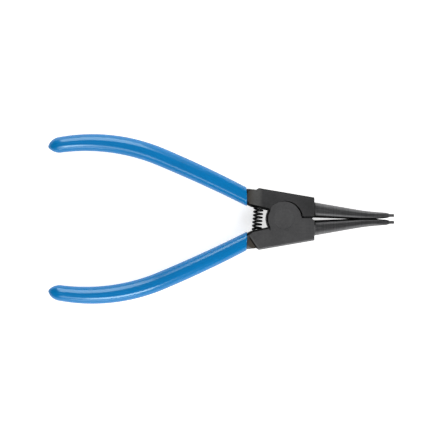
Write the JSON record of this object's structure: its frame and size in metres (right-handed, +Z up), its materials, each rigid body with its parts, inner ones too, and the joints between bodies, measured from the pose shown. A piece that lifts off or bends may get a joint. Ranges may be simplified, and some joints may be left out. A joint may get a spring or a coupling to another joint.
{
  "type": "circlip pliers",
  "caption": "Straight pliers for external circlips: lapped head on a flush rivet, tapered round jaws with pin tips, return spring and bowed handles with dipped grips.",
  "frame": {"origin": "on the pivot axis, in the plane that the pliers rest on when they lie flat", "axes": "+X towards the tips, +Y towards the upper handle, +Z up along the pivot axis"},
  "size_m": [0.18, 0.0886, 0.0096],
  "materials": {
    "tool_steel": "satin",
    "rivet_steel": "satin",
    "spring_steel": "satin",
    "grip_plastic": "gloss"
  },
  "bodies": {
    "lower_arm": {"lower_half": "tool_steel", "lower_grip": "grip_plastic", "pivot_rivet": "rivet_steel", "return_spring": "spring_steel"},
    "upper_arm": {"upper_half": "tool_steel", "upper_grip": "grip_plastic"}
  },
  "joints": [
    {"name": "handle_squeeze", "type": "hinge", "parent": "lower_arm", "child": "upper_arm", "pos_m": [0, 0, 0], "axis": [0, 0, 1], "range_deg": [0, 25], "stiffness_Nm_per_rad": 2.8, "springref_deg": -6.88, "deforming": ["return_spring"]}
  ]
}
